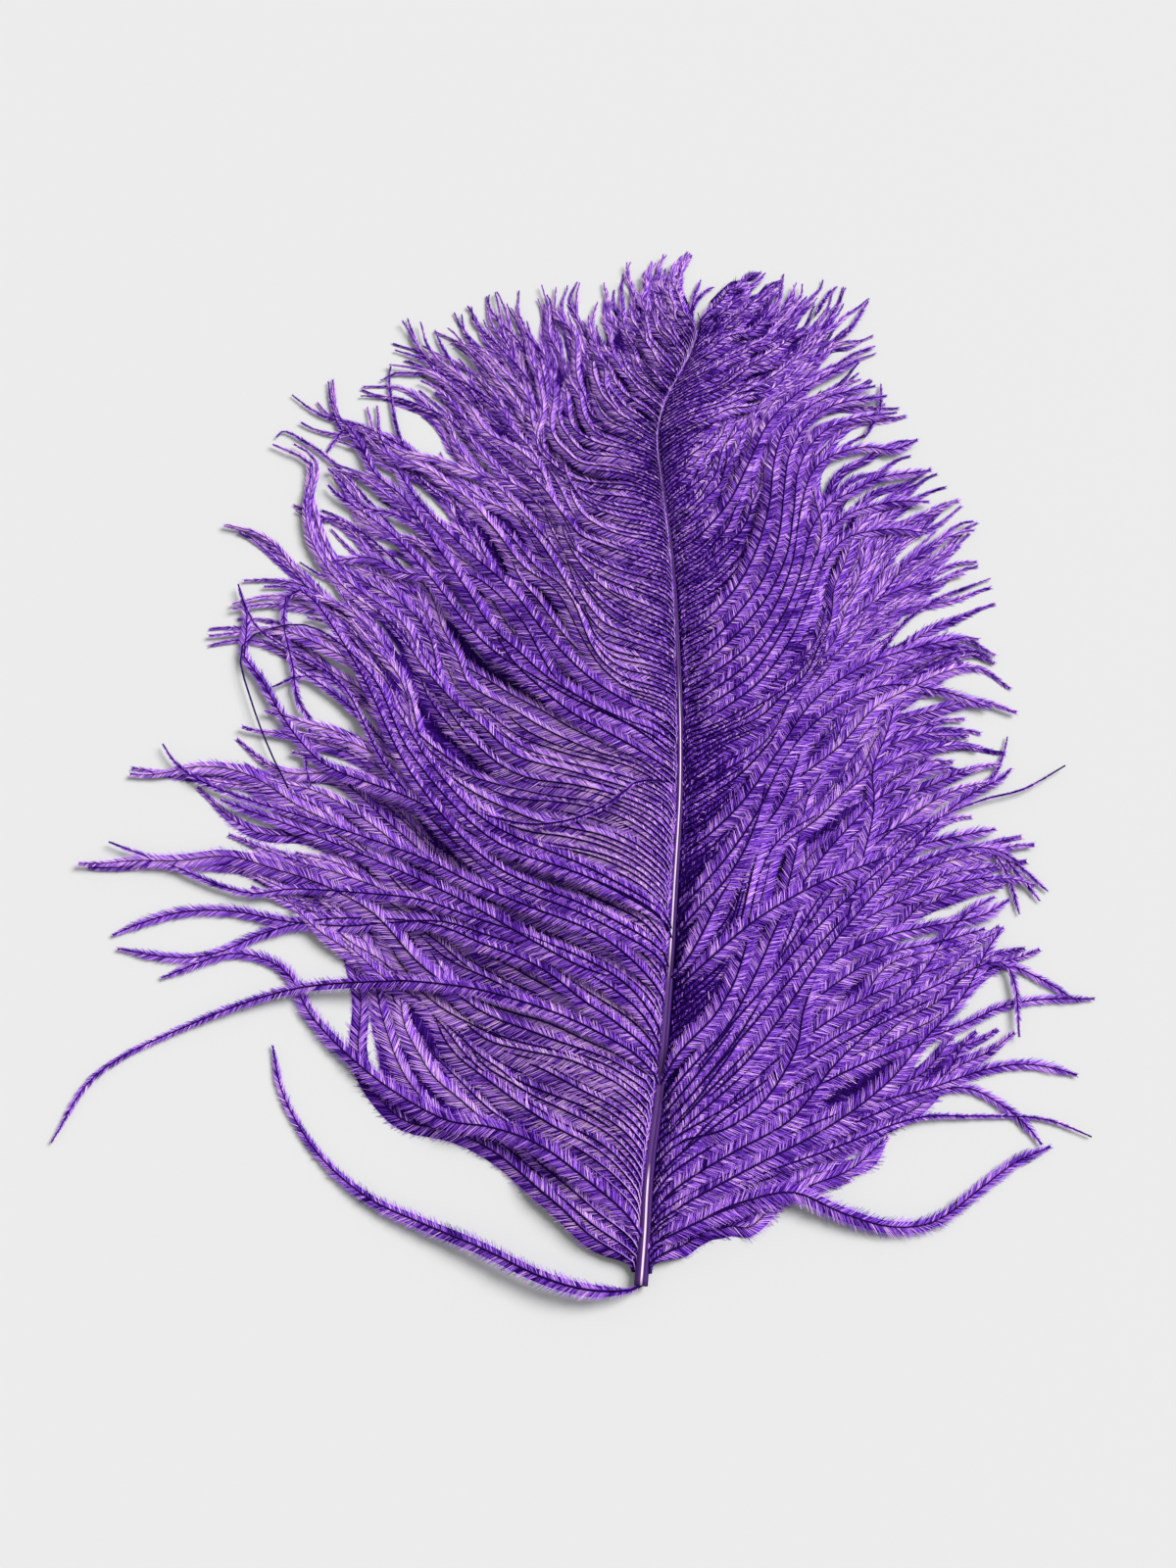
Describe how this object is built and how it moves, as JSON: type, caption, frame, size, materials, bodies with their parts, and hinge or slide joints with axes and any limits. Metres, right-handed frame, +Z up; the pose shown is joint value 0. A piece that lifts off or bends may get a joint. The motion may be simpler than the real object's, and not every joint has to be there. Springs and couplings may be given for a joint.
{
  "type": "ostrich feather",
  "caption": "Dyed violet plume lying flat: a curved tapering shaft with a wide soft vane of wavy barbs down each side, and a few loose barbs at the edges.",
  "frame": {"origin": "middle of the footprint, on the surface the plume lies on", "axes": "+Y from the cut foot of the shaft towards the tip, +X to the right, +Z up, away from the surface"},
  "size_m": [0.2554, 0.2884, 0.0046],
  "materials": {
    "shaft_keratin": "dyed keratin, satin, with a paler groove along its top",
    "barbs": "dyed violet barbs and barbules, soft and silky, darker at the roots"
  },
  "bodies": {
    "root": {"shaft": "shaft_keratin", "left_vane": "barbs", "right_vane": "barbs", "left_foot_barb": "barbs", "left_hanging_barb": "barbs", "left_long_barb": "barbs", "left_crossing_barb": "barbs", "left_arched_barb": "barbs", "right_low_barb": "barbs", "right_straight_barb": "barbs", "right_bent_barb": "barbs", "right_short_barb": "barbs", "right_long_barb": "barbs", "right_drooping_barb": "barbs"}
  },
  "joints": []
}
